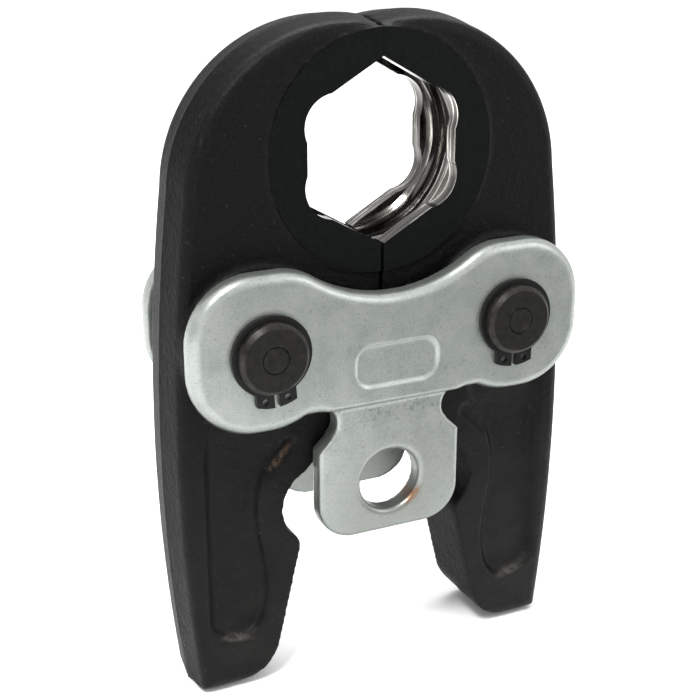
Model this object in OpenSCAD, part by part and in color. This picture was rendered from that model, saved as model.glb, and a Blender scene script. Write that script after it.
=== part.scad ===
// Press fitting jaw: two forged arms on two pins, held between two side plates.
// Frame: X across the jaw, Y along the pins with the front at -Y, Z up.
// The origin lies on the axis of the tool pin bore, midway between the plates.
// Each arm is drawn as the right one and mirrored for the left.

/* [Side plates] */
// Bore that takes the tool's locking pin
tool_bore_d = 14; // [12:0.1:16]
// Thickness of a side plate's sheet
plate_t = 4.3; // [3.6:0.1:5]
// Half width of the rounded square lobes about the pivot pins
lobe_half = 16.8; // [15.8:0.1:17.6]
// Radius of the lobes' corners
lobe_corner_r = 14; // [12:0.1:15]
// Height of the waist between the lobes, above the pivot axes
waist_rise = 9.2; // [7:0.1:11]
// Depth of the straight lower edge below the pivot axes
belly_drop = 14.75; // [14:0.05:15.4]
// Width of the tab that holds the tool pin bore
tab_w = 33.4; // [31:0.2:36]
// Reach of the tab below the tool pin bore
tab_drop = 11.75; // [10.5:0.05:13]
// Radius of the tab's lower corners
tab_corner_r = 8; // [5:0.5:10]
// Height of the tab's shoulders above the tool pin bore
tab_shoulder = 9; // [8:0.1:10]
// Radius of the bites that make the neck
neck_bite_r = 3.9; // [3.2:0.1:4.2]
// How far the cranked tab is set in from the plate
tab_set = 2.25; // [1.2:0.05:2.6]
// Chamfer along the tab's outer edges
tab_chamfer = 0.5; // [0.2:0.1:0.8]
// Reach of the rolled outer edge, in from the outline
roll_w = 0.9; // [0.5:0.1:1.6]
// Depth of the rolled outer edge
roll_d = 0.9; // [0.5:0.1:1.6]
// Chamfer at the mouth of the tool pin bore
bore_chamfer = 0.7; // [0.3:0.1:1]
// Width of the sunk pad in the front plate
pad_w = 19.5; // [14:0.5:22]
// Height of the sunk pad
pad_h = 9.6; // [8:0.2:10]
// Depth of the sunk pad
pad_d = 0.5; // [0.3:0.1:1]
// Radius of the sunk pad's corners
pad_corner_r = 3.6; // [2:0.1:3.9]

/* [Pivots] */
// Distance between the two pivot pins
pivot_span = 56.4; // [54.6:0.2:58]
// Height of the pivot pins above the tool pin bore
pivot_rise = 33.8; // [33:0.1:35]
// Diameter of a pivot pin
pin_d = 15; // [13:0.1:16]
// Reach of a pin past the outer face of a plate
pin_proud = 3.1; // [2.8:0.05:4.5]
// Chamfer on the ends of a pin
pin_chamfer = 0.9; // [0.4:0.1:1.4]
// Radial clearance of the pins in their bores
pin_fit = 0.05; // [0.02:0.01:0.1]
// Diameter of the turned ring mark on a pin's end
mark_d = 5.6; // [4:0.1:8]

/* [Retaining rings] */
// Thickness of a retaining ring
clip_t = 1; // [0.8:0.1:1.4]
// Depth of the ring's groove in the pin
groove_depth = 0.35; // [0.2:0.05:0.6]
// Reach of a ring past the pin, opposite its lugs
clip_w = 1.3; // [1:0.1:2]
// Reach of the lugs from the pin's axis
lug_reach = 10.8; // [10.4:0.1:12]
// Width of one lug
lug_w = 3.8; // [3.4:0.1:4.6]
// Gap between the two lugs
lug_gap = 1.1; // [0.8:0.1:2]
// Diameter of the plier holes in the lugs
lug_hole_d = 1.5; // [1.2:0.1:1.8]
// Turn of the rings on the left pin
left_clip_turn = 5; // [-20:1:20]
// Turn of the rings on the right pin
right_clip_turn = -1; // [-20:1:20]

/* [Jaw arms] */
// Thickness of the arms over the machined ring round the die
arm_t = 19; // [17:0.2:21]
// Height of the machined ring above the forged faces
boss_proud = 0.5; // [0.3:0.1:1]
// Radius of the hub boss round a pivot pin
hub_r = 15.5; // [13:0.1:16]
// Height of the hub boss above the machined ring
hub_rise = 2.4; // [2:0.1:3]
// Clearance between an arm and a side plate
plate_gap = 0.2; // [0.15:0.05:0.4]
// Half width of the closed jaw at the forged front edge
side_x = 45.75; // [44.5:0.05:48]
// Radius of the long curve of an arm's outer side
side_r = 430; // [300:10:700]
// Height of the widest place of the jaw
side_z = 8; // [0:1:20]
// Height of the jaw's top above the tool pin bore
top_z = 97; // [96:0.5:99]
// Radius of the shoulder that joins the outer side to the top
dome_r = 34; // [32:0.5:35]
// Depth of the arm tips below the tool pin bore
tip_drop = 45; // [43.5:0.1:47]
// Draft of the forged sides, from the parting line to the edge
draft = 1; // [0.5:0.1:1.5]
// Radius of the forged edges
edge_r = 2; // [1:0.1:2.6]
// Gap between the closed arms below the die
split_gap = 0.7; // [0.4:0.1:1.2]
// Gap between the closed arms above the die
tip_gap = 0.1; // [0.06:0.02:0.3]
// Height at which the arms' inner edges part
throat_z = 29.5; // [27:0.5:31]
// Distance from the middle to the side of the relief notch
relief_x = 23; // [22.4:0.1:23.8]
// Radius of the relief notch
relief_r = 9.1; // [8.4:0.1:9.6]
// Distance from the middle to the crest of the roller ramp
crest_x = 19.1; // [18.8:0.1:20]
// Radius of the crest, between the relief notch and the roller ramp
crest_r = 3; // [2:0.1:4]
// Slope of the roller ramp, in degrees from upright
ramp_angle = 13.2; // [11:0.1:15]
// Radius of the rounded tip at the foot of the ramp
tip_r = 10.8; // [8:0.1:12]
// Depth of the pockets in the arms' faces
pocket_d = 1.6; // [0.8:0.1:2.5]
// Width of wall left between the relief notch and a pocket
pocket_wall = 5.4; // [4.5:0.1:7]

/* [Die] */
// Height of the die's centre above the tool pin bore
die_z = 70.9; // [70:0.1:72]
// Distance across the flats of the pressed hexagon
die_flats = 33.3; // [32:0.1:34]
// Radius of the rounded hexagon corners
die_corner_r = 18.5; // [18.3:0.1:19]
// Radius of the lobes at the corners
lobe_cut_r = 6.8; // [6.4:0.1:7.2]
// Distance of the lobes from the die's centre
lobe_cut_off = 12; // [11.6:0.1:12.4]
// Radius of the machined ring face round the die
die_ring_r = 25; // [23.5:0.5:26]
// Width of the round bead groove inside the die
bead_w = 6.4; // [4:0.2:8]
// Radius of the bead groove
bead_r = 20.6; // [20:0.1:21.5]
// Width of each shallow step beside the bead groove
shelf_w = 1.8; // [1:0.1:2.5]
// Radius of the shallow steps
shelf_r = 19.3; // [19.1:0.1:19.8]

/* [Closing spring] */
// Outer diameter of the spring's coil
spring_d = 6; // [5:0.1:7]
// Diameter of the spring wire
wire_d = 0.9; // [0.7:0.1:1.2]
// Number of turns
spring_turns = 9; // [6:1:11]
// Height of the spring above the tool pin bore
spring_z = 23.5; // [22:0.5:24.5]
// Depth of the spring's seats in the arms, from the middle
spring_seat = 11; // [9:0.5:13]

/* [Hidden] */
$fn = 64;
over = 1;
pivot_x = pivot_span / 2;
pin_r = pin_d / 2;
bore_r = pin_r + pin_fit;
hub_out = arm_t / 2 + hub_rise;
plate_in = hub_out + plate_gap;
plate_out = plate_in + plate_t;
tab_in = plate_in - tab_set;
tab_out = plate_out - tab_set;
pin_end = plate_out + pin_proud;
face_y = arm_t / 2 - boss_proud;
// Two rounds that run into each other overlap by this much.
meet = 0.05;
// The plate's lobes, lower edge and waist
lobe_in = lobe_half - lobe_corner_r;
round_r = lobe_half - meet;
corner = [pivot_x - lobe_in, pivot_rise + lobe_in];
belly_z = pivot_rise - belly_drop;
belly_x = pivot_x - sqrt(round_r * round_r - belly_drop * belly_drop);
waist_z = pivot_rise + waist_rise;
waist_up = waist_z - corner[1];
waist_r = (corner[0] * corner[0] + waist_up * waist_up - lobe_corner_r * lobe_corner_r)
        / (2 * (lobe_corner_r - waist_up));
waist_c = waist_z + waist_r;
// The neck, and the height at which its crank ends
bite = [tab_w / 2 - 0.3, belly_z - neck_bite_r + meet];
crank_top = belly_z + tab_set + 0.5;
pad_c = [0.3, belly_z + 8.8];
// The retaining rings
clip_gap = 0.05;
clip_in_r = pin_r - groove_depth + 0.05;
clip_shift = (pin_r + clip_w - clip_in_r) * 0.12;
// The arm's inner edge
relief = [relief_x - relief_r, -5.1];
neck_in = [7.3, 12.5];
crest_off = crest_x + crest_r - relief[0];
crest_far = relief_r + crest_r - meet;
crest = [crest_x + crest_r, relief[1] - sqrt(crest_far * crest_far - crest_off * crest_off)];
ramp_top = crest - crest_r * [cos(ramp_angle), sin(ramp_angle)];
tip_z = tip_r - tip_drop;
tip_c = [ramp_top[0] + (ramp_top[1] - tip_z) * tan(ramp_angle) + tip_r / cos(ramp_angle), tip_z];
// The arm's outer side, from the tip up to the dome
side_c = [side_x - side_r, side_z];
dome_a = asin((top_z - dome_r - side_z) / (side_r - dome_r));
dome_c = side_c + (side_r - dome_r) * [cos(dome_a), sin(dome_a)];
// The pocket
pocket_top = belly_z - 1.8;
pocket_x = side_x - 5;
pocket_foot = [33.4, 8 - tip_drop + 9.6];
pocket_foot_r = 6.7;

// An arc as points, from angle a0 to a1.
function arc(c, r, a0, a1, n) =
    [for (i = [0:n]) let (a = a0 + (a1 - a0) * i / n) c + r * [cos(a), sin(a)]];

function unit(v) = v / norm(v);

// A shape in the XZ plane made a slab from y0 to y1.
module slab(y0, y1) {
    translate([0, y1, 0]) rotate([90, 0, 0]) linear_extrude(y1 - y0) children();
}

// A round bar along Y.
module bar(x, z, r, y0, y1) {
    translate([x, y1, z]) rotate([90, 0, 0]) cylinder(r = r, h = y1 - y0);
}

// A profile of [radius, y] turned about an axis along Y.
module turned(x, z, profile) {
    translate([x, 0, z]) rotate([-90, 0, 0]) rotate_extrude() polygon(profile);
}

// The outer edge of a side plate is rolled over: points of [radius, y] from its side to its face.
// With way 1 the metal is inside the radius, and with way -1 it is outside.
function rolled(r, way) = [for (t = [0, 25, 45, 65, 90])
    [r - way * roll_w * (1 - cos(t)), -plate_out + roll_d * (1 - sin(t))]];

// A cutter about an axis along Y that leaves a rolled edge on the plate round it.
module rolled_cut(x, z, r) {
    turned(x, z, concat([[0, -plate_in + over], [r, -plate_in + over]], rolled(r, -1),
                        [[r + roll_w, -plate_out - over], [0, -plate_out - over]]));
}

// Half of a plate's section at a rolled edge that lies r away from an axis.
function rim(r) = concat([[0, -plate_in], [r, -plate_in]], rolled(r, 1), [[0, -plate_out]]);

// A flat side of the right lobe. It faces +X, and is turned from there about the pin.
module flank(turn, from, to) {
    translate([pivot_x, 0, pivot_rise]) rotate([0, turn, 0])
        translate([0, 0, from]) linear_extrude(to - from) polygon(rim(lobe_half));
}

// The right lobe: three rounded corners with flat sides between, and round towards the neck.
module lobe() {
    for (c = [[1, 1], [1, -1], [-1, 1]])
        turned(pivot_x + c[0] * lobe_in, pivot_rise + c[1] * lobe_in, rim(lobe_corner_r));
    turned(pivot_x, pivot_rise, rim(round_r));
    flank(0, -lobe_in, lobe_in);
    flank(-90, -lobe_in, lobe_in);
    flank(90, 0, lobe_in);
}

// The web between the two lobes, down to its straight lower edge.
module web() {
    joint = corner + (lobe_corner_r - 0.2) * unit([-corner[0], waist_c - corner[1]]);
    foot = belly_x + 1.5;
    difference() {
        slab(-plate_out, -plate_in)
            polygon([[-pivot_x, pivot_rise], [-joint[0], joint[1]], joint,
                     [pivot_x, pivot_rise], [foot, belly_z], [-foot, belly_z]]);
        rolled_cut(0, waist_c - meet, waist_r);
        translate([-foot - over, 0, belly_z]) rotate([90, 0, 90]) linear_extrude(2 * (foot + over))
            polygon(concat([for (e = rolled(0, -1)) [e[1], e[0]]], [[-plate_out - over, 0]]));
    }
}

// The tab with chamfered edges.
module tab() {
    c = tab_chamfer;
    w = tab_w / 2;
    r = tab_corner_r;
    low = r - tab_drop;
    for (s = [-1, 1])
        turned(s * (w - r), low, [[0, -tab_in], [r, -tab_in], [r, -tab_out + c],
                                  [r - c, -tab_out], [0, -tab_out]]);
    translate([0, 0, low]) linear_extrude(tab_shoulder - low)
        polygon([[-w, -tab_in], [w, -tab_in], [w, -tab_out + c], [w - c, -tab_out],
                 [c - w, -tab_out], [-w, -tab_out + c]]);
    translate([r - w, 0, 0]) rotate([90, 0, 90]) linear_extrude(tab_w - 2 * r)
        polygon([[-tab_in, -tab_drop], [-tab_in, 0], [-tab_out, 0], [-tab_out, c - tab_drop],
                 [c - tab_out, -tab_drop]]);
}

// The neck between two round bites. The sheet is cranked here: the tab's front runs up behind
// the plate's lower edge, and its back slants out to the plate's.
module neck() {
    w = tab_w / 2;
    z0 = tab_shoulder;
    difference() {
        intersection() {
            slab(-tab_out, -tab_in)
                polygon([[-w, z0], [w, z0], [w - 3, z0 + 3], [bite[0], belly_z],
                         [bite[0] - 3, crank_top + over], [3 - bite[0], crank_top + over],
                         [-bite[0], belly_z], [3 - w, z0 + 3]]);
            translate([-tab_w, 0, 0]) rotate([90, 0, 90]) linear_extrude(2 * tab_w)
                polygon([[-plate_out, z0 - over], [over - tab_in, z0 - over],
                         [over - tab_in, crank_top - tab_set - over],
                         [-plate_in - over / 2, crank_top + over / 2],
                         [-plate_out, crank_top + over / 2]]);
        }
        for (s = [-1, 1])
            turned(s * bite[0], bite[1], [[0, over - tab_in], [neck_bite_r, over - tab_in],
                                          [neck_bite_r, tab_chamfer - tab_out],
                                          [neck_bite_r + tab_chamfer + over, -tab_out - over],
                                          [0, -tab_out - over]]);
    }
}

// The front side plate before its pad is sunk: blanked, and cranked at the neck.
module plate_blank() {
    mouth = tool_bore_d / 2 + bore_chamfer;
    difference() {
        union() {
            for (s = [0, 1]) mirror([s, 0, 0]) lobe();
            web();
            neck();
            tab();
        }
        for (s = [-1, 1]) bar(s * pivot_x, pivot_rise, bore_r, -plate_out - over, -plate_in + over);
        turned(0, 0, [[0, -tab_out - over], [mouth + over, -tab_out - over],
                      [tool_bore_d / 2, bore_chamfer - tab_out], [tool_bore_d / 2, over - tab_in],
                      [0, over - tab_in]]);
    }
}

module pad_outline() {
    w = pad_w - 2 * pad_corner_r;
    h = pad_h - 2 * pad_corner_r;
    translate(pad_c) union() {
        square([pad_w, h], center = true);
        square([w, pad_h], center = true);
        for (x = [-w, w]) for (z = [-h, h]) translate([x / 2, z / 2]) circle(pad_corner_r);
    }
}

module front_plate() {
    color("#b9bdb8") difference() {
        plate_blank();
        slab(-plate_out - over, -plate_out + pad_d) pad_outline();
    }
}

module back_plate() {
    color("#b9bdb8") mirror([0, 1, 0]) plate_blank();
}

// A pivot pin with a groove for a ring near each end.
module pivot_pin(x) {
    groove_in = plate_out;
    groove_out = plate_out + clip_t + 2 * clip_gap;
    groove_r = pin_r - groove_depth;
    half = [[pin_r, groove_in], [groove_r, groove_in], [groove_r, groove_out], [pin_r, groove_out],
            [pin_r, pin_end - pin_chamfer], [pin_r - pin_chamfer, pin_end],
            [mark_d / 2 + 0.15, pin_end], [mark_d / 2, pin_end - 0.25],
            [mark_d / 2 - 0.15, pin_end], [0, pin_end]];
    low = [for (i = [len(half) - 1:-1:0]) [half[i][0], -half[i][1]]];
    color("#242523") turned(x, pivot_rise, concat(low, half));
}

// A retaining ring: an open ring that narrows towards two lugs with plier holes.
module ring_outline() {
    outer_r = pin_r + clip_w - clip_shift;
    difference() {
        union() {
            translate([0, clip_shift]) circle(outer_r);
            intersection() {
                circle(lug_reach);
                translate([-lug_gap / 2 - lug_w, -lug_reach]) square([2 * lug_w + lug_gap, lug_reach]);
            }
        }
        circle(clip_in_r);
        translate([-lug_gap / 2, -lug_reach - over]) square([lug_gap, lug_reach + over]);
        for (s = [-1, 1])
            translate([s * (lug_gap + lug_w) / 2, -(pin_r + lug_reach) / 2]) circle(lug_hole_d / 2);
    }
}

module retaining_ring(x, turn, front) {
    y0 = plate_out + clip_gap;
    ends = front ? [-y0 - clip_t, -y0] : [y0, y0 + clip_t];
    color("#1f201f") translate([x, 0, pivot_rise])
        slab(ends[0], ends[1]) rotate(turn) ring_outline();
}

// Half of the arm's thickness profile: [inset, y] from the parting line out to the forged face.
forged_edge = concat([[0, 0]], [for (t = [0, 25, 45, 65, 90])
    let (lean = draft * (face_y - edge_r + edge_r * sin(t)) / face_y)
    [lean + edge_r * (1 - cos(t)), face_y - edge_r + edge_r * sin(t)]]);
// The same for both faces, from the front to the back.
forged_side = concat([for (i = [len(forged_edge) - 1:-1:1]) [forged_edge[i][0], -forged_edge[i][1]]],
                     forged_edge);

// A forged round side: the thickness profile turned about an axis along Y.
module forged_round(c, r) {
    turned(c[0], c[1], concat([[0, -face_y]], [for (e = forged_side) [r - e[0], e[1]]],
                              [[0, face_y]]));
}

// The forged shell of the right arm, before its inner edge is cut.
module shell() {
    ray = [cos(dome_a), sin(dome_a)];
    reach = side_r + draft + 4;
    intersection() {
        union() {
            intersection() {
                forged_round(side_c, side_r + draft, $fn = 720);
                slab(-arm_t, arm_t)
                    polygon([[-8, -tip_drop - 4], [side_x + 8, -tip_drop - 4],
                             side_c + reach * ray, dome_c, [-8, dome_c[1]]]);
            }
            forged_round(dome_c + 2 * meet * ray, dome_r + draft, $fn = 120);
        }
        translate([-8, 0, 0]) rotate([90, 0, 90]) linear_extrude(side_x + 16)
            polygon(concat([[-face_y, top_z + 8]],
                           [for (e = forged_side) [e[1], e[0] - draft - tip_drop]],
                           [[face_y, top_z + 8]]));
    }
}

// The right arm seen from the front, with straight walls where rollers and the other arm bear.
// Two of its corners lie inside the relief notch, which is cut after it.
function arm_profile() = concat(
    [[tip_gap / 2, top_z + 4], [tip_gap / 2, die_z], [split_gap / 2, die_z],
     [split_gap / 2, throat_z], neck_in],
    [for (v = [[1.3, 78], [-0.4, 50], [-0.5, -48]])
        relief + (relief_r + v[0]) * [cos(v[1]), sin(v[1])]],
    arc(crest, crest_r, 128, 180 + ramp_angle, 6),
    arc(tip_c, tip_r, 180 + ramp_angle, 268, 12),
    [[tip_c[0], -tip_drop - 2], [side_x + 4, -tip_drop - 2], [side_x + 4, top_z + 4]]);

// The opening that presses the fitting: a hexagon with eased corners and four lobes.
// The top and bottom corners stay sharp, where the two arms meet.
module die_opening() {
    apothem = die_flats / 2;
    union() {
        intersection() {
            rotate(30) circle(apothem / cos(30), $fn = 6);
            union() {
                circle(die_corner_r);
                square([9, 3 * apothem], center = true);
            }
        }
        for (a = [30, 150, 210, 330]) rotate(a) translate([lobe_cut_off, 0]) circle(lobe_cut_r);
    }
}

// Round the inside of the die run a bead groove and a shallow step on each side of it.
module die_grooves() {
    b = bead_w / 2;
    s = b + shelf_w;
    turned(0, die_z, [[0, -s - 1], [shelf_r - 1, -s - 1], [shelf_r, -s], [shelf_r, -b],
                      [bead_r - 0.6, -b], [bead_r, -b + 0.8], [bead_r, b - 0.8], [bead_r - 0.6, b],
                      [shelf_r, b], [shelf_r, s], [shelf_r - 1, s + 1], [0, s + 1]]);
}

// The hub boss of an arm, with the draft of the forging on its side.
module hub() {
    turned(pivot_x, pivot_rise, [[0, -hub_out], [hub_r, -hub_out], [hub_r + draft, -face_y],
                                 [hub_r + draft, face_y], [hub_r, hub_out], [0, hub_out]]);
}

function pocket_outline() = concat(
    [[pocket_foot[0] - pocket_foot_r - 0.4, -19]],
    arc(pocket_foot, pocket_foot_r, 180, 360, 12),
    [[pocket_x, -6]],
    arc([pocket_x - 3, pocket_top - 3], 3, 0, 90, 5),
    [[relief[0] + 9, pocket_top]],
    arc(relief, relief_r + pocket_wall, 60, -35, 12));

module right_arm() {
    difference() {
        intersection() {
            union() {
                shell();
                bar(0, die_z, die_ring_r, -arm_t / 2, arm_t / 2);
                hub();
            }
            slab(-arm_t, arm_t) polygon(arm_profile());
        }
        slab(-arm_t, arm_t) translate([0, die_z]) die_opening();
        die_grooves();
        bar(pivot_x, pivot_rise, bore_r, -arm_t, arm_t);
        bar(relief[0], relief[1], relief_r, -arm_t, arm_t);
        for (s = [0, 1]) mirror([0, s, 0])
            slab(-face_y - over, -face_y + pocket_d) polygon(pocket_outline());
        translate([0, 0, spring_z]) rotate([0, 90, 0])
            cylinder(r = spring_d / 2 + 0.5, h = spring_seat);
    }
}

module right_jaw() {
    color("#2b2c2a") right_arm();
}

module left_jaw() {
    color("#2b2c2a") mirror([1, 0, 0]) right_arm();
}

// The closing spring: a wire wound on an axis along X, between seats in the two arms.
module closing_spring() {
    steps = 12;
    sides = 6;
    coil_r = (spring_d - wire_d) / 2;
    reach = spring_seat - 0.3 - wire_d / 2;
    count = spring_turns * steps;
    ring = function (i) let (a = 360 * i / steps, x = reach * (2 * i / count - 1))
        [for (j = [0:sides - 1]) let (b = 360 * j / sides, r = coil_r + wire_d / 2 * cos(b))
            [x + wire_d / 2 * sin(b), r * cos(a), spring_z + r * sin(a)]];
    pts = [for (i = [0:count]) for (q = ring(i)) q];
    walls = [for (i = [0:count - 1]) for (j = [0:sides - 1]) let (h = (j + 1) % sides, m = i * sides)
        for (t = [[m + j, m + h, m + sides + h], [m + j, m + sides + h, m + sides + j]]) t];
    start = [for (j = [sides - 1:-1:0]) j];
    end = [for (j = [0:sides - 1]) count * sides + j];
    color("#8d9094") polyhedron(points = pts, faces = concat([start], walls, [end]));
}

left_jaw();
right_jaw();
front_plate();
back_plate();
pivot_pin(-pivot_x);  // left_pivot_pin
pivot_pin(pivot_x);  // right_pivot_pin
retaining_ring(-pivot_x, left_clip_turn, true);  // front_left_retaining_ring
retaining_ring(pivot_x, right_clip_turn, true);  // front_right_retaining_ring
retaining_ring(-pivot_x, left_clip_turn, false);  // back_left_retaining_ring
retaining_ring(pivot_x, right_clip_turn, false);  // back_right_retaining_ring
closing_spring();
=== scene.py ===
# %% [markdown]
# # A press fitting jaw
# Two black forged arms turn on two pins between zinc plated side plates and close a die
# round a tube fitting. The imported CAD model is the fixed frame: this script gives its
# pieces their finishes, dresses the forged and rolled shapes, and lights the photograph.

# %% Load the frame
import math

import bmesh
import bpy
import numpy as np
from mathutils import Matrix, Vector


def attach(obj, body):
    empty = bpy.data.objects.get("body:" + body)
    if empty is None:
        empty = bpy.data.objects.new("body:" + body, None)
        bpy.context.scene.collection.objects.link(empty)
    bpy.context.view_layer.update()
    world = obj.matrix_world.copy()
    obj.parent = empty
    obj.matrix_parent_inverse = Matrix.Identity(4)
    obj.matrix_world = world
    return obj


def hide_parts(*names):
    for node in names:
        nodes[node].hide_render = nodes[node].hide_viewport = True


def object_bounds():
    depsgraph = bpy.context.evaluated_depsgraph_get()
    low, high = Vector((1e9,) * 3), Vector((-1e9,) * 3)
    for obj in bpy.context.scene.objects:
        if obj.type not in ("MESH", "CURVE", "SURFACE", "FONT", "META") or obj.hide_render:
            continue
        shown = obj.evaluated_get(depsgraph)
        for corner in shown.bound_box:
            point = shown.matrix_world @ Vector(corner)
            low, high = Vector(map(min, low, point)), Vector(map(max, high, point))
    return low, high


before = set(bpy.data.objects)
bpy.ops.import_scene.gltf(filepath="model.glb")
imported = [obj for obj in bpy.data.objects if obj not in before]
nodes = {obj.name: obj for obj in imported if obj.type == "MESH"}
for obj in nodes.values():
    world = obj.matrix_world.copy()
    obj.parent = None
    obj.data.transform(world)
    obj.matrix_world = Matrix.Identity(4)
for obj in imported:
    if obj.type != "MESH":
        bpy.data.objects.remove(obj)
cad_box = [list(corner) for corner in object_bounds()]
MM = 0.001
print("pieces:", sorted(nodes))

# %% [markdown]
# ## The camera
# The lens and place were worked out from the photograph: the pin bore, the pins and the
# die give enough known points. The camera stands left of the front, 20 degrees up.

# %% Camera
CAMERA_AT = Vector((-124.00, -255.58, 129.41)) * MM
AZIMUTH, ELEVATION, ROLL = (math.radians(a) for a in (-25.337, 20.137, -0.099))
LENS_MM = 71.0

back = Vector((math.sin(AZIMUTH) * math.cos(ELEVATION),
               -math.cos(AZIMUTH) * math.cos(ELEVATION), math.sin(ELEVATION)))
right = Vector((math.cos(AZIMUTH), math.sin(AZIMUTH), 0))
turn = Matrix.Rotation(ROLL, 3, back)
right = turn @ right
up = back.cross(right)
camera = bpy.data.objects.new("camera", bpy.data.cameras.new("camera"))
camera.data.lens = LENS_MM
camera.data.sensor_width = 36
camera.data.clip_start = 0.01
facing = Matrix((right, up, back)).transposed().to_4x4()
camera.matrix_world = Matrix.Translation(CAMERA_AT) @ facing
bpy.context.scene.collection.objects.link(camera)
bpy.context.scene.camera = camera
bpy.context.scene.view_settings.view_transform = "Standard"
print("camera at", [round(c, 4) for c in CAMERA_AT])


# %% [markdown]
# ## Helpers for materials
# Colours are written as a paint chart has them, in sRGB hex, and Blender wants linear
# light. `add` makes a shader node with its settings and links in one call. `patch` is a
# mask for one worn or dirty place: an ellipse seen from the front, with its middle, its
# half lengths and its turn, in millimetres and degrees. The jaw is the same left and
# right, so a patch can be folded over. `leaning` tells how the surface faces.

# %% Helpers
def linear(chart):
    parts = [int(chart[i:i + 2], 16) / 255 for i in (1, 3, 5)]
    return [p / 12.92 if p <= 0.04045 else ((p + 0.055) / 1.055) ** 2.4 for p in parts] + [1.0]


def add(tree, kind, links=None, values=None, **settings):
    node = tree.nodes.new(kind)
    for name, value in settings.items():
        setattr(node, name, value)
    for name, value in (values or {}).items():
        node.inputs[name].default_value = value
    for name, source in (links or {}).items():
        tree.links.new(source, node.inputs[name])
    return node


def finish(name):
    """A new material's node tree and shader, and the object's own coordinates."""
    material = bpy.data.materials.new(name)
    material.use_nodes = True
    tree = material.node_tree
    shader = tree.nodes["Principled BSDF"]
    place = add(tree, "ShaderNodeTexCoord").outputs["Object"]
    return material, tree, shader, place


def ramp(tree, source, stops):
    node = add(tree, "ShaderNodeValToRGB", {"Fac": source})
    while len(node.color_ramp.elements) < len(stops):
        node.color_ramp.elements.new(0.5)
    for element, (at, chart) in zip(node.color_ramp.elements, stops):
        element.position = at
        element.color = linear(chart)
    return node.outputs["Color"]


def noise(tree, place, size_mm, detail=4.0, rough=0.6):
    return add(tree, "ShaderNodeTexNoise", {"Vector": place},
               {"Scale": 1 / (size_mm * MM), "Detail": detail, "Roughness": rough}).outputs["Fac"]


def math_node(tree, operation, first, second=None):
    node = add(tree, "ShaderNodeMath", {0: first}, operation=operation)
    if isinstance(second, (int, float)):
        node.inputs[1].default_value = second
    elif second is not None:
        tree.links.new(second, node.inputs[1])
    return node.outputs["Value"]


def spread(tree, source, low, high, first, last):
    """Turns low to high in the source into first to last."""
    node = add(tree, "ShaderNodeMapRange", {"Value": source},
               {"From Min": low, "From Max": high, "To Min": first, "To Max": last})
    return node.outputs["Result"]


def bump(tree, height, strength, depth_mm, under=None):
    links = {"Height": height, "Normal": under} if under else {"Height": height}
    return add(tree, "ShaderNodeBump", links,
               {"Strength": strength, "Distance": depth_mm * MM}).outputs["Normal"]


def folded(tree, place):
    parts = add(tree, "ShaderNodeSeparateXYZ", {"Vector": place})
    width = math_node(tree, "ABSOLUTE", parts.outputs["X"])
    node = add(tree, "ShaderNodeCombineXYZ", {"X": width, "Z": parts.outputs["Z"]})
    return node.outputs["Vector"]


def leaning(tree, axis):
    normal = add(tree, "ShaderNodeTexCoord").outputs["Normal"]
    return add(tree, "ShaderNodeSeparateXYZ", {"Vector": normal}).outputs[axis]


def patch(tree, place, middle_mm, half_mm, turn=0.0, soft=0.6):
    x, z = middle_mm
    long, short = half_mm
    inside = add(tree, "ShaderNodeMapping", {"Vector": place},
                 {"Location": (x * MM, 0, z * MM), "Rotation": (0, -math.radians(turn), 0),
                  "Scale": (long * MM, 1000.0, short * MM)}, vector_type="TEXTURE")
    reach = add(tree, "ShaderNodeVectorMath", {0: inside.outputs["Vector"]}, operation="LENGTH")
    return spread(tree, reach.outputs["Value"], 1.0, 1.0 - soft, 0.0, 1.0)


def blend(tree, fac, first, chart):
    node = add(tree, "ShaderNodeMix", {0: fac, 6: first}, {7: linear(chart)}, data_type="RGBA")
    return node.outputs[2]


# %% [markdown]
# ## Forged steel
# The arms are drop forged and then blackened with phosphate and oil. The scale leaves a
# fine grainy surface, dull and nearly black, with slow waves from the forging die and a
# few pale specks where the scale has chipped. The legs are painted a little lighter, most
# on their faces. A slanted slot by the notch has painted shade in it and one side rubbed
# brown with a painted highlight, and the foot of the pocket has a painted grey highlight.
# The sides of the arm are duller than its faces.

# %% Forged steel
GRAIN_MM, HIDE_MM, CHIP_MM, WAVE_MM = 0.5, 1.3, 1.1, 8.0
LEG_LIGHTENING = ((30, -38), (60, 70), 0, 1.0)
SLOT_PAINTED_SHADE = ((-24.0, 7.8), (5.6, 1.7), 46, 0.5)
SLOT_RUB_AND_HIGHLIGHT = ((-23.5, 7.2), (4.6, 0.8), 46)
FOOT_HIGHLIGHT = ((34.6, -33.4), (4.6, 1.0), 12)

forged, tree, shader, place = finish("phosphated_forged_steel")
fold = folded(tree, place)
grain = noise(tree, place, GRAIN_MM)
waves = noise(tree, place, WAVE_MM, 3.0)
chips = noise(tree, place, CHIP_MM, 2.0)
hide = noise(tree, place, HIDE_MM, 5.0, 0.65)
specks = ramp(tree, noise(tree, place, 0.9, 1.0, 0.3), [(0.71, "#000000"), (0.75, "#606060")])
facing = math_node(tree, "ABSOLUTE", leaning(tree, "Y"))

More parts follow.
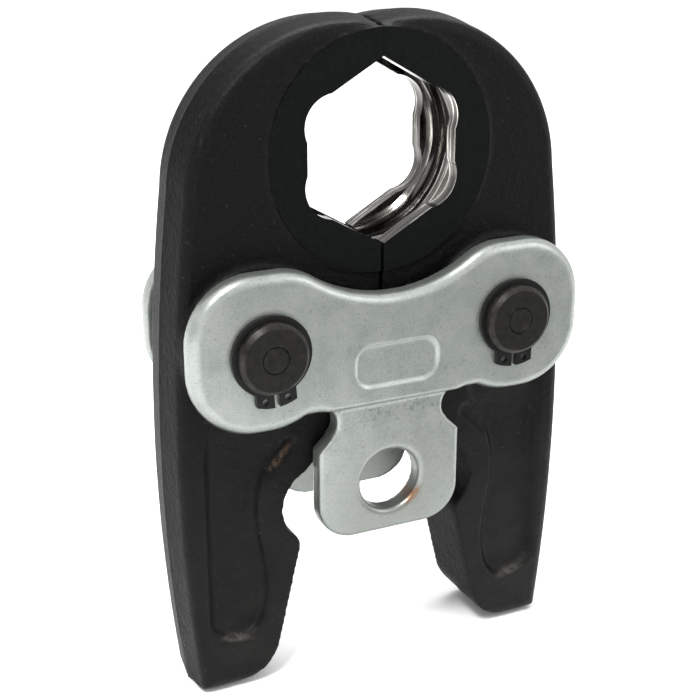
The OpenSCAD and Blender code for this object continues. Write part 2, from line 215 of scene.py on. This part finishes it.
tone = ramp(tree, grain, [(0.3, "#050505"), (0.55, "#0b0b0b"), (0.8, "#1b1b19")])
# The legs are painted lighter, most where they face front and back; the sides get less of it.
leg_lightening = math_node(tree, "MULTIPLY", patch(tree, fold, *LEG_LIGHTENING),
                 spread(tree, facing, 0.1, 0.4, 0.35, 1.0))
leg_lightening = math_node(tree, "MULTIPLY", leg_lightening, ramp(tree, waves, [(0.3, "#808080"), (0.7, "#ffffff")]))
# Brown rub on the slot's rim, which also stands as a painted highlight.
slot_rub_and_highlight = math_node(tree, "MULTIPLY", patch(tree, place, *SLOT_RUB_AND_HIGHLIGHT),
                     ramp(tree, chips, [(0.35, "#202020"), (0.6, "#c0c0c0")]))
# Painted grey highlight on the curved foot of the pocket.
foot_highlight = math_node(tree, "MULTIPLY", patch(tree, fold, *FOOT_HIGHLIGHT),
                     ramp(tree, chips, [(0.3, "#101010"), (0.7, "#808080")]))
tone = blend(tree, leg_lightening, tone, "#1b1a19")
# Painted shade inside the slanted slot.
tone = blend(tree, patch(tree, place, *SLOT_PAINTED_SHADE), tone, "#050505")
tone = blend(tree, slot_rub_and_highlight, tone, "#6d5c4c")
tone = blend(tree, foot_highlight, tone, "#8a857e")
tone = blend(tree, specks, tone, "#5a5a58")
tree.links.new(tone, shader.inputs["Base Color"])
tree.links.new(spread(tree, facing, 0.1, 0.35, 0.03, 0.11), shader.inputs["Specular IOR Level"])
tree.links.new(spread(tree, grain, 0.3, 0.7, 0.34, 0.5), shader.inputs["Roughness"])
relief = bump(tree, waves, 0.5, 0.6)
relief = bump(tree, hide, 0.8, 0.25, relief)
relief = bump(tree, grain, 0.8, 0.1, relief)
tree.links.new(relief, shader.inputs["Normal"])
print("forged steel grain, mm:", GRAIN_MM)

# %% [markdown]
# ## Machined and blackened steel
# The ring round the die is turned flat after forging, so it is smoother and darker than
# the forging, with very fine rings left by the tool.

# %% Machined ring
DIE_Z, DIE_RING_R, BOSS_Y, FACE_Y = 70.9, 25.0, 9.5, 9.0
TOOL_FEED_MM = 0.35

machined, tree, shader, place = finish("turned_black_steel")
tint = noise(tree, place, 1.2, 5.0)
scuffs = ramp(tree, noise(tree, place, 2.2, 6.0, 0.7), [(0.62, "#000000"), (0.72, "#606060")])
tone = ramp(tree, tint, [(0.3, "#040606"), (0.6, "#090b0b"), (0.85, "#141412")])
tree.links.new(blend(tree, scuffs, tone, "#1e1d1b"), shader.inputs["Base Color"])
shader.inputs["Roughness"].default_value = 0.46
shader.inputs["Specular IOR Level"].default_value = 0.09
centred = add(tree, "ShaderNodeMapping", {"Vector": place}, {"Location": (0, 0, -DIE_Z * MM)})
parts = add(tree, "ShaderNodeSeparateXYZ", {"Vector": centred.outputs["Vector"]})
flat = add(tree, "ShaderNodeCombineXYZ", {"X": parts.outputs["X"], "Y": parts.outputs["Z"]})
reach = add(tree, "ShaderNodeVectorMath", {0: flat.outputs["Vector"]}, operation="LENGTH")
turns = math_node(tree, "MULTIPLY", reach.outputs["Value"], 2 * math.pi / (TOOL_FEED_MM * MM))
tree.links.new(bump(tree, math_node(tree, "SINE", turns), 0.12, 0.02), shader.inputs["Normal"])

# %% [markdown]
# ## Polished die steel
# Only the inside of the die is bright: hardened steel, ground and polished. Dark and
# bright grinding bands run round it, their tones also painted reflections, and a brown
# film is left in places.

# %% Die steel
BAND_SCALE = (0.2, 4.0, 0.2)

polished, tree, shader, place = finish("polished_die_steel")
along = add(tree, "ShaderNodeMapping", {"Vector": place}, {"Scale": BAND_SCALE})
bands = noise(tree, along.outputs["Vector"], 4.0, 5.0, 0.7)
film = noise(tree, place, 3.5, 4.0)
# Grinding bands whose dark and bright tones are also painted reflections.
bands_and_reflections = ramp(tree, bands, [(0.38, "#3a3938"), (0.56, "#6d6a67"), (0.63, "#e6e2da")])
filmed = ramp(tree, film, [(0.55, "#000000"), (0.75, "#909090")])
tree.links.new(blend(tree, filmed, bands_and_reflections, "#4a4640"), shader.inputs["Base Color"])
shader.inputs["Metallic"].default_value = 1.0
tree.links.new(spread(tree, film, 0.3, 0.7, 0.08, 0.22), shader.inputs["Roughness"])
tree.links.new(bump(tree, bands, 0.2, 0.03), shader.inputs["Normal"])

# %% [markdown]
# ## Zinc plated steel
# The side plates are blanked from sheet and zinc plated. The plating is a pale satin
# grey with a soft mottle, faint warm and cool tints, fine grit, and dark specks of grime
# that gather low on the tab and along the plate's lower edge. The tab is dulled by
# handling, edges that face down are darkened with painted shade, and one side of the pin
# bore is rubbed to a copper colour.

# %% Zinc plate
MOTTLE_MM, PIT_MM, GRIT_MM, DRIFT_MM = 5.0, 0.9, 0.4, 22.0
TAB_GRIME = ((0, -9), (19, 7), 0, 0.9)
EDGE_GRIME = ((0, 17), (60, 5), 0, 0.9)
TAB_WEAR = ((0, -9), (26, 26), 0, 0.7)
COPPER_RUB = ((5.6, -5.0), (3.4, 1.0), 45)

zinc, tree, shader, place = finish("zinc_plated_steel")
mottle = noise(tree, place, MOTTLE_MM, 6.0, 0.68)
fine = noise(tree, place, GRIT_MM, 3.0, 0.7)
pits = noise(tree, place, PIT_MM, 4.0, 0.7)
drift = noise(tree, place, DRIFT_MM, 2.0)
grime = math_node(tree, "ADD", patch(tree, place, *TAB_GRIME), patch(tree, place, *EDGE_GRIME))
grime = math_node(tree, "ADD", math_node(tree, "MULTIPLY", grime, 0.07), pits)
worn = math_node(tree, "MULTIPLY", patch(tree, place, *TAB_WEAR), 0.7)
# Painted shade on surfaces that face down.
under = spread(tree, leaning(tree, "Z"), -0.1, -0.8, 0.0, 0.8)
copper = math_node(tree, "MULTIPLY", patch(tree, place, *COPPER_RUB),
                   ramp(tree, pits, [(0.35, "#404040"), (0.55, "#ffffff")]))

tone = ramp(tree, mottle, [(0.3, "#9aa19b"), (0.5, "#a5aba6"), (0.7, "#afb2ad")])
tone = blend(tree, ramp(tree, drift, [(0.4, "#000000"), (0.7, "#4a4a4a")]), tone, "#b3aea8")
tone = blend(tree, ramp(tree, fine, [(0.36, "#909090"), (0.52, "#000000")]), tone, "#6a6d68")
tone = blend(tree, ramp(tree, grime, [(0.6, "#000000"), (0.7, "#a8a8a8")]), tone, "#565349")
tone = blend(tree, worn, tone, "#80837f")
tone = blend(tree, under, tone, "#565a56")
tree.links.new(blend(tree, copper, tone, "#8f6b52"), shader.inputs["Base Color"])
shader.inputs["Metallic"].default_value = 0.8
tree.links.new(spread(tree, mottle, 0.3, 0.7, 0.31, 0.37), shader.inputs["Roughness"])
uneven = math_node(tree, "ADD", math_node(tree, "MULTIPLY", fine, 0.5), pits)
tree.links.new(bump(tree, uneven, 0.45, 0.06), shader.inputs["Normal"])

# %% [markdown]
# ## Black oxide pins, rings and spring
# The pins are turned and hot blackened: smooth, nearly black, a little brown where they
# are handled, and rubbed paler on the chamfer. The rings are punched spring steel with
# an oily black. The spring's wire is bright drawn steel.

# %% Pins, rings and spring
PIVOT_X, PIVOT_Z, PIN_R, PIN_CHAMFER = 28.2, 33.8, 7.5, 0.9

oxide, tree, shader, place = finish("black_oxide_steel")
film = noise(tree, place, 1.5, 5.0)
dull = ramp(tree, film, [(0.3, "#121211"), (0.6, "#201f1d"), (0.8, "#35302a")])
axis = add(tree, "ShaderNodeMapping", {"Vector": folded(tree, place)},
           {"Location": (-PIVOT_X * MM, 0, -PIVOT_Z * MM)})
radius = add(tree, "ShaderNodeVectorMath", {0: axis.outputs["Vector"]}, operation="LENGTH")
edge = spread(tree, radius.outputs["Value"], (PIN_R - 1.2 * PIN_CHAMFER) * MM,
              (PIN_R - 0.6 * PIN_CHAMFER) * MM, 0.0, 1.0)
rubbed = math_node(tree, "MULTIPLY", edge, ramp(tree, film, [(0.35, "#303030"), (0.65, "#c0c0c0")]))
tree.links.new(blend(tree, rubbed, dull, "#3b3833"), shader.inputs["Base Color"])
shader.inputs["Roughness"].default_value = 0.36
shader.inputs["Specular IOR Level"].default_value = 0.2
shader.inputs["Metallic"].default_value = 0.2

oily, tree, shader, place = finish("oiled_spring_steel")
tone = ramp(tree, noise(tree, place, 0.8), [(0.3, "#090909"), (0.7, "#161514")])
tree.links.new(tone, shader.inputs["Base Color"])
shader.inputs["Roughness"].default_value = 0.34
shader.inputs["Specular IOR Level"].default_value = 0.25

wire, tree, shader, place = finish("drawn_spring_wire")
tone = ramp(tree, noise(tree, place, 1.0), [(0.3, "#7f8285"), (0.7, "#a5a7a9")])
tree.links.new(tone, shader.inputs["Base Color"])
shader.inputs["Metallic"].default_value = 1.0
shader.inputs["Roughness"].default_value = 0.3


# %% Finishes on the CAD pieces
def dress(node, material):
    data = nodes[node].data
    data.materials.clear()
    data.materials.append(material)


for name in nodes:
    if "retaining_ring" in name:
        dress(name, oily)
    elif "pivot_pin" in name:
        dress(name, oxide)
    elif "plate" in name:
        dress(name, zinc)
    elif "jaw" in name:
        dress(name, forged)
    else:
        dress(name, wire)

# %% [markdown]
# ## The forged arms
# The CAD arm has the right form but knife sharp edges. The forging is made from a copy of
# it: the die ring is taken out, the rest is remeshed finely, and its pocket is reshaped to
# the soft hollow of the real one, steepest by the notch. A slanted slot is sunk beside it.
# Smoothing then gives the rounded edges of a forging. The die ring comes from a second
# copy and stays crisp.

# %% Tools for the arms
VOXEL_MM, DRUM_MM = 0.45, 60.0


def cad_copy(node):
    """A copy of a CAD mesh in world place, merged by distance."""
    source = nodes[node]
    mesh = bmesh.new()
    mesh.from_mesh(source.data)
    bmesh.ops.transform(mesh, matrix=source.matrix_world, verts=mesh.verts)
    bmesh.ops.remove_doubles(mesh, verts=mesh.verts, dist=0.001 * MM)
    data = bpy.data.meshes.new(node + "_copy")
    mesh.to_mesh(data)
    mesh.free()
    return data


def drum(radius):
    """A round cutter on the die's axis, longer than the arm is thick."""
    mesh = bmesh.new()
    bmesh.ops.create_cone(mesh, cap_ends=True, segments=192, depth=DRUM_MM * MM,
                          radius1=radius * MM, radius2=radius * MM)
    bmesh.ops.rotate(mesh, verts=mesh.verts, matrix=Matrix.Rotation(math.pi / 2, 3, "X"))
    bmesh.ops.translate(mesh, verts=mesh.verts, vec=(0, 0, DIE_Z * MM))
    data = bpy.data.meshes.new("drum")
    mesh.to_mesh(data)
    mesh.free()
    return data


def shaped(data, steps, cutter=None):
    """The mesh that a stack of modifiers makes of this one."""
    item = bpy.data.objects.new("work", data)
    bpy.context.scene.collection.objects.link(item)
    tool = None
    for kind, settings in steps:
        step = item.modifiers.new(kind.lower(), kind)
        for key, value in settings.items():
            setattr(step, key, value)
        if kind == "BOOLEAN":
            tool = bpy.data.objects.new("tool", cutter)
            bpy.context.scene.collection.objects.link(tool)
            step.object = tool
    graph = bpy.context.evaluated_depsgraph_get()
    result = bpy.data.meshes.new_from_object(item.evaluated_get(graph), depsgraph=graph)
    bpy.data.objects.remove(item)
    if tool:
        bpy.data.objects.remove(tool)
    return result


# %% [markdown]
# The pocket is a height field: its depth is a product of soft steps from the inner wall,
# the foot and the outer side. The lines of the inner wall and the foot are given by a few
# points each. Only what lies outward of the line INNER is moved, so the notch keeps its
# form.

# %% The pocket and the slot
POCKET_MM, POCKET_TOP, TOP_SHARE = 2.0, 19.0, 0.35
WALL_RUN, FOOT_RUN, OUTER_RUN, TOP_RUN = 1.5, 2.0, 2.6, 14.0
WALL_Z = [-36, -33, -31, -28, -24, -20, -16, -12, -8, -4, 0, 4.8, 10.5, 19]
WALL_X = [33.0, 29.6, 28.0, 26.8, 26.3, 26.3, 26.8, 27.5, 28.1, 28.3, 28.0, 26.6, 22.4, 21.0]
OUTER_X = 41.2
FOOT_X = [24, 28, 33, 37, 41]
FOOT_Z = [-31.5, -33.2, -34.4, -33.4, -30.5]
INNER_Z = [-36, -28, -14, -5, 2, 7.5, 19]
INNER_X = [25.0, 24.6, 24.8, 26.0, 25.0, 19.8, 19.8]
SLOT_ENDS, SLOT_MM, SLOT_HALF = ((26.6, 5.2), (21.6, 10.3)), 1.5, 2.1


def soft_step(value):
    t = np.clip(value, 0, 1)
    return t * t * (3 - 2 * t)


def hollow(x, z):
    wall = soft_step((x - np.interp(z, WALL_Z, WALL_X)) / WALL_RUN)
    foot = soft_step((z - np.interp(x, FOOT_X, FOOT_Z)) / FOOT_RUN)
    outer = soft_step((OUTER_X - x) / OUTER_RUN)
    top = soft_step((POCKET_TOP - z) / TOP_RUN)
    return POCKET_MM * wall * foot * outer * (TOP_SHARE + (1 - TOP_SHARE) * top)


def slot(x, z):
    """Depth of the slanted slot between the notch and the pivot."""
    start, end = np.array(SLOT_ENDS)
    run = end - start
    t = np.clip(((x - start[0]) * run[0] + (z - start[1]) * run[1]) / (run @ run), 0, 1)
    off = np.hypot(x - start[0] - t * run[0], z - start[1] - t * run[1])
    return SLOT_MM * soft_step(1 - off / SLOT_HALF)


def sink_faces(data):
    count = len(data.vertices)
    flat = np.empty(count * 3)
    data.vertices.foreach_get("co", flat)
    points = flat.reshape(count, 3) / MM
    x, y, z = np.abs(points[:, 0]), points[:, 1], points[:, 2]
    near = (np.abs(y) > FACE_Y - POCKET_MM - 0.3) & (np.abs(y) < FACE_Y + 0.1)
    near &= (x > np.interp(z, INNER_Z, INNER_X)) & (x < OUTER_X + 0.2)
    near &= (z > INNER_Z[0]) & (z < INNER_Z[-1])
    depth = np.maximum(hollow(x, z), slot(x, z))
    points[near, 1] = np.sign(y[near]) * (FACE_Y - depth[near])
    data.vertices.foreach_set("co", (points * MM).ravel())
    data.update()


def smooth_by_angle(data, degrees):
    mesh = bmesh.new()
    mesh.from_mesh(data)
    for face in mesh.faces:
        face.smooth = True
    for edge in mesh.edges:
        edge.smooth = len(edge.link_faces) == 2 and edge.calc_face_angle(0) < math.radians(degrees)
    mesh.to_mesh(data)
    mesh.free()


def piece(name, data, materials, body, node):
    data.name = name
    data.materials.clear()
    for material in materials:
        data.materials.append(material)
    item = bpy.data.objects.new(name, data)
    bpy.context.scene.collection.objects.link(item)
    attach(item, body)
    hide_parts(node)
    print(name, len(data.polygons), "faces")


# %% [markdown]
# Where the two halves of the forging die met, a thin line of flash runs round the outer
# side of the arm.

# %% The flash line
FLASH_MM, FLASH_HALF_MM = 0.22, 0.55
DOME_FROM_Z, DOME_MIDDLE_Z, DOME_INNER_R, LEG_OUTER_X, TIP_Z = 60, 64, 28, 38, -35


def raise_flash(data):
    count = len(data.vertices)
    flat, normals = np.empty(count * 3), np.empty(count * 3)
    data.vertices.foreach_get("co", flat)
    data.vertices.foreach_get("normal", normals)
    points, normals = flat.reshape(count, 3) / MM, normals.reshape(count, 3)
    x, y, z = points.T
    leg = np.where(z < TIP_Z, normals[:, 2] < -0.5, np.abs(x) > LEG_OUTER_X)
    dome = np.hypot(x, z - DOME_MIDDLE_Z) > DOME_INNER_R
    outward = np.where(z > DOME_FROM_Z, dome, leg)
    ridge = outward & (np.abs(y) < FLASH_HALF_MM) & (np.abs(normals[:, 1]) < 0.35)
    lift = FLASH_MM * (1 - np.abs(y) / FLASH_HALF_MM)
    points[ridge] += normals[ridge] * lift[ridge, None]
    data.vertices.foreach_set("co", (points * MM).ravel())
    data.update()


# %% Forgings and die rings
REMESH = ("REMESH", {"mode": "VOXEL", "voxel_size": VOXEL_MM * MM})
BORE_REACH, FORGING_OVERLAP, RING_PLAY = 21.0, 0.6, 0.05
for side in ("left", "right"):
    node = side + "_jaw"
    cut = ("BOOLEAN", {"operation": "DIFFERENCE", "solver": "EXACT"})
    rough_body = shaped(cad_copy(node), [cut, REMESH], drum(DIE_RING_R - FORGING_OVERLAP))
    sink_faces(rough_body)
    body = shaped(rough_body, [REMESH, ("SMOOTH", {"factor": 0.5, "iterations": 6})])
    raise_flash(body)
    smooth_by_angle(body, 180)
    piece(side + "_arm_forging", body, [forged], side + "_arm", node)
    keep = ("BOOLEAN", {"operation": "INTERSECT", "solver": "EXACT"})
    ring = shaped(cad_copy(node), [keep], drum(DIE_RING_R - RING_PLAY))
    smooth_by_angle(ring, 25)
    piece(side + "_die_ring", ring, [machined, polished], side + "_arm", node)
    for face in ring.polygons:
        reach = math.hypot(face.center.x, face.center.z - DIE_Z * MM)
        parting = abs(face.normal.x) > 0.99 and abs(face.center.x) < 0.5 * MM
        inside = reach < BORE_REACH * MM and abs(face.center.y) < (BOSS_Y - 0.05) * MM
        bore = inside and not parting
        face.material_index = 1 if bore else 0

# %% [markdown]
# ## The side plates
# Blanking drew the outer edge of the sheet down to a broad round. The CAD plate has it
# small: here a finely remeshed copy gets its full size. The distance in from the outline
# is worked out from the same lobes, waist and lower edge that the CAD plate has, and the
# face falls away by a quarter round within it.

# %% Plates
PLATE_OUT, LOBE_HALF, LOBE_CORNER = 16.4, 16.8, 14.0
BELLY_Z, WAIST_Z, CORNER_X, CORNER_Z = 19.05, 43.0, 25.4, 36.6
ROLL_MM, NECK_ROLL_MM = 2.1, 0.9
NECK_X, NECK_Z, NECK_RUN = 17.5, 25.0, 3.0
waist_up = WAIST_Z - CORNER_Z
WAIST_R = (CORNER_X ** 2 + waist_up ** 2 - LOBE_CORNER ** 2) / (2 * (LOBE_CORNER - waist_up))


def inside_outline(x, z):
    dx, dz = x - PIVOT_X, z - PIVOT_Z
    square = LOBE_HALF - LOBE_CORNER
    lobe = LOBE_CORNER - np.hypot(np.maximum(np.abs(dx) - square, 0),
                                  np.maximum(np.abs(dz) - square, 0))
    lobe = np.where((dx < 0) & (dz < 0), LOBE_HALF - np.hypot(dx, dz), lobe)
    waist = np.hypot(x, z - WAIST_Z - WAIST_R) - WAIST_R
    web = np.minimum(waist, z - BELLY_Z)
    joint = np.array([-CORNER_X, WAIST_Z + WAIST_R - CORNER_Z])
    joint /= np.hypot(*joint)
    beyond = (x - CORNER_X) * joint[1] - (z - CORNER_Z) * joint[0] > 0
    return np.maximum(lobe, np.where(beyond, -1.0, web))


def roll_edges(data):
    count = len(data.vertices)
    flat = np.empty(count * 3)
    data.vertices.foreach_get("co", flat)
    points = flat.reshape(count, 3) / MM
    x, y, z = np.abs(points[:, 0]), points[:, 1], points[:, 2]
    neck = soft_step((NECK_X - x) / NECK_RUN) * soft_step((NECK_Z - z) / NECK_RUN)
    size = ROLL_MM + (NECK_ROLL_MM - ROLL_MM) * neck
    depth = np.clip(inside_outline(x, z), 0, size)
    limit = PLATE_OUT - size + np.sqrt(size ** 2 - (size - depth) ** 2)
    points[:, 1] = np.sign(y) * np.minimum(np.abs(y), limit)
    data.vertices.foreach_set("co", (points * MM).ravel())
    data.update()


PLATE_VOXEL_MM = 0.4
PLATE_REMESH = ("REMESH", {"mode": "VOXEL", "voxel_size": PLATE_VOXEL_MM * MM})
for name in ("front_plate", "back_plate"):
    sheet = shaped(cad_copy(name), [PLATE_REMESH])
    roll_edges(sheet)
    rolled = shaped(sheet, [PLATE_REMESH, ("SMOOTH", {"factor": 0.5, "iterations": 3})])
    smooth_by_angle(rolled, 180)
    piece(name.replace("_", "_rolled_"), rolled, [zinc], "plate_frame", name)

# %% [markdown]
# ## Floor and light
# A white floor under the tips and a white world, brightest overhead: a light box, as for
# a catalogue. A grey card lies on the floor in front of the jaw, below the frame. Only
# reflections see it: it takes the glare off the flat faces and leaves the rounded edges
# bright. The camera and the reflections see the world as at least plain white. Soft lamps
# shape the rest: one above and to the left, a weaker one to the right, and one behind for
# the rims.

# %% Floor and card
FLOOR_Z = min(corner[2] for corner in cad_box)
FLOOR_W = 60.0
CARD_W, CARD_D, CARD_GAP, CARD_LEFT, CARD_LIFT = 1.2, 0.9, 0.035, 0.09, 0.0005


def lay_sheet(name, material, width, depth, middle, turn=0.0):
    mesh = bmesh.new()
    bmesh.ops.create_grid(mesh, x_segments=1, y_segments=1, size=0.5)
    bmesh.ops.scale(mesh, verts=mesh.verts, vec=(width, depth, 1))
    bmesh.ops.translate(mesh, verts=mesh.verts, vec=middle)
    bmesh.ops.rotate(mesh, verts=mesh.verts, matrix=Matrix.Rotation(turn, 3, "Z"))
    sheet = bpy.data.objects.new(name, bpy.data.meshes.new(name))
    mesh.to_mesh(sheet.data)
    mesh.free()
    sheet.data.materials.append(material)
    bpy.context.scene.collection.objects.link(sheet)
    return sheet


paper, tree, shader, place = finish("white_paper")
tone = ramp(tree, noise(tree, place, 3.0), [(0.3, "#fafafa"), (0.7, "#fefefe")])
tree.links.new(tone, shader.inputs["Base Color"])
shader.inputs["Roughness"].default_value = 0.9
shader.inputs["Specular IOR Level"].default_value = 0.1
lay_sheet("floor", paper, FLOOR_W, FLOOR_W, (0, 0, FLOOR_Z))

card, tree, shader, place = finish("grey_card")
shader.inputs["Base Color"].default_value = linear("#787878")
shader.inputs["Roughness"].default_value = 0.9
card_middle = (CARD_LEFT + CARD_W / 2, -CARD_GAP - CARD_D / 2, FLOOR_Z + CARD_LIFT)
dark_card = lay_sheet("dark_card", card, CARD_W, CARD_D, card_middle, AZIMUTH)
dark_card.visible_camera = False
dark_card.visible_diffuse = False
dark_card.visible_shadow = False
dark_card.visible_transmission = False

# %% World and lamps
HORIZON, ZENITH, ZENITH_FROM = 0.35, 1.25, 0.7

world = bpy.data.worlds.new("studio")
bpy.context.scene.world = world
world.use_nodes = True
tree = world.node_tree
sky = tree.nodes["Background"]
sky.inputs["Color"].default_value = linear("#ffffff")
toward = add(tree, "ShaderNodeTexCoord").outputs["Generated"]
height = add(tree, "ShaderNodeSeparateXYZ", {"Vector": toward}).outputs["Z"]
dome = spread(tree, height, 0.0, ZENITH_FROM, HORIZON, ZENITH)
rays = add(tree, "ShaderNodeLightPath")
seen = math_node(tree, "MAXIMUM", rays.outputs["Is Camera Ray"], rays.outputs["Is Glossy Ray"])
tree.links.new(math_node(tree, "MAXIMUM", dome, seen), sky.inputs["Strength"])


def lamp(name, at, aim, size, power):
    data = bpy.data.lights.new(name, "AREA")
    data.shape = "RECTANGLE"
    data.size, data.size_y = size
    data.energy = power
    item = bpy.data.objects.new(name, data)
    bpy.context.scene.collection.objects.link(item)
    item.location = at
    item.rotation_euler = (Vector(aim) - Vector(at)).to_track_quat("-Z", "Y").to_euler()


MIDDLE = (0, 0, 0.03)
lamp("key", (-0.35, -0.35, 0.8), MIDDLE, (0.2, 0.2), 7.0)
lamp("fill", (0.6, -0.6, 0.4), MIDDLE, (0.5, 0.5), 1.6)
lamp("rim", (0.15, 0.45, 0.75), MIDDLE, (0.6, 0.25), 4.0)
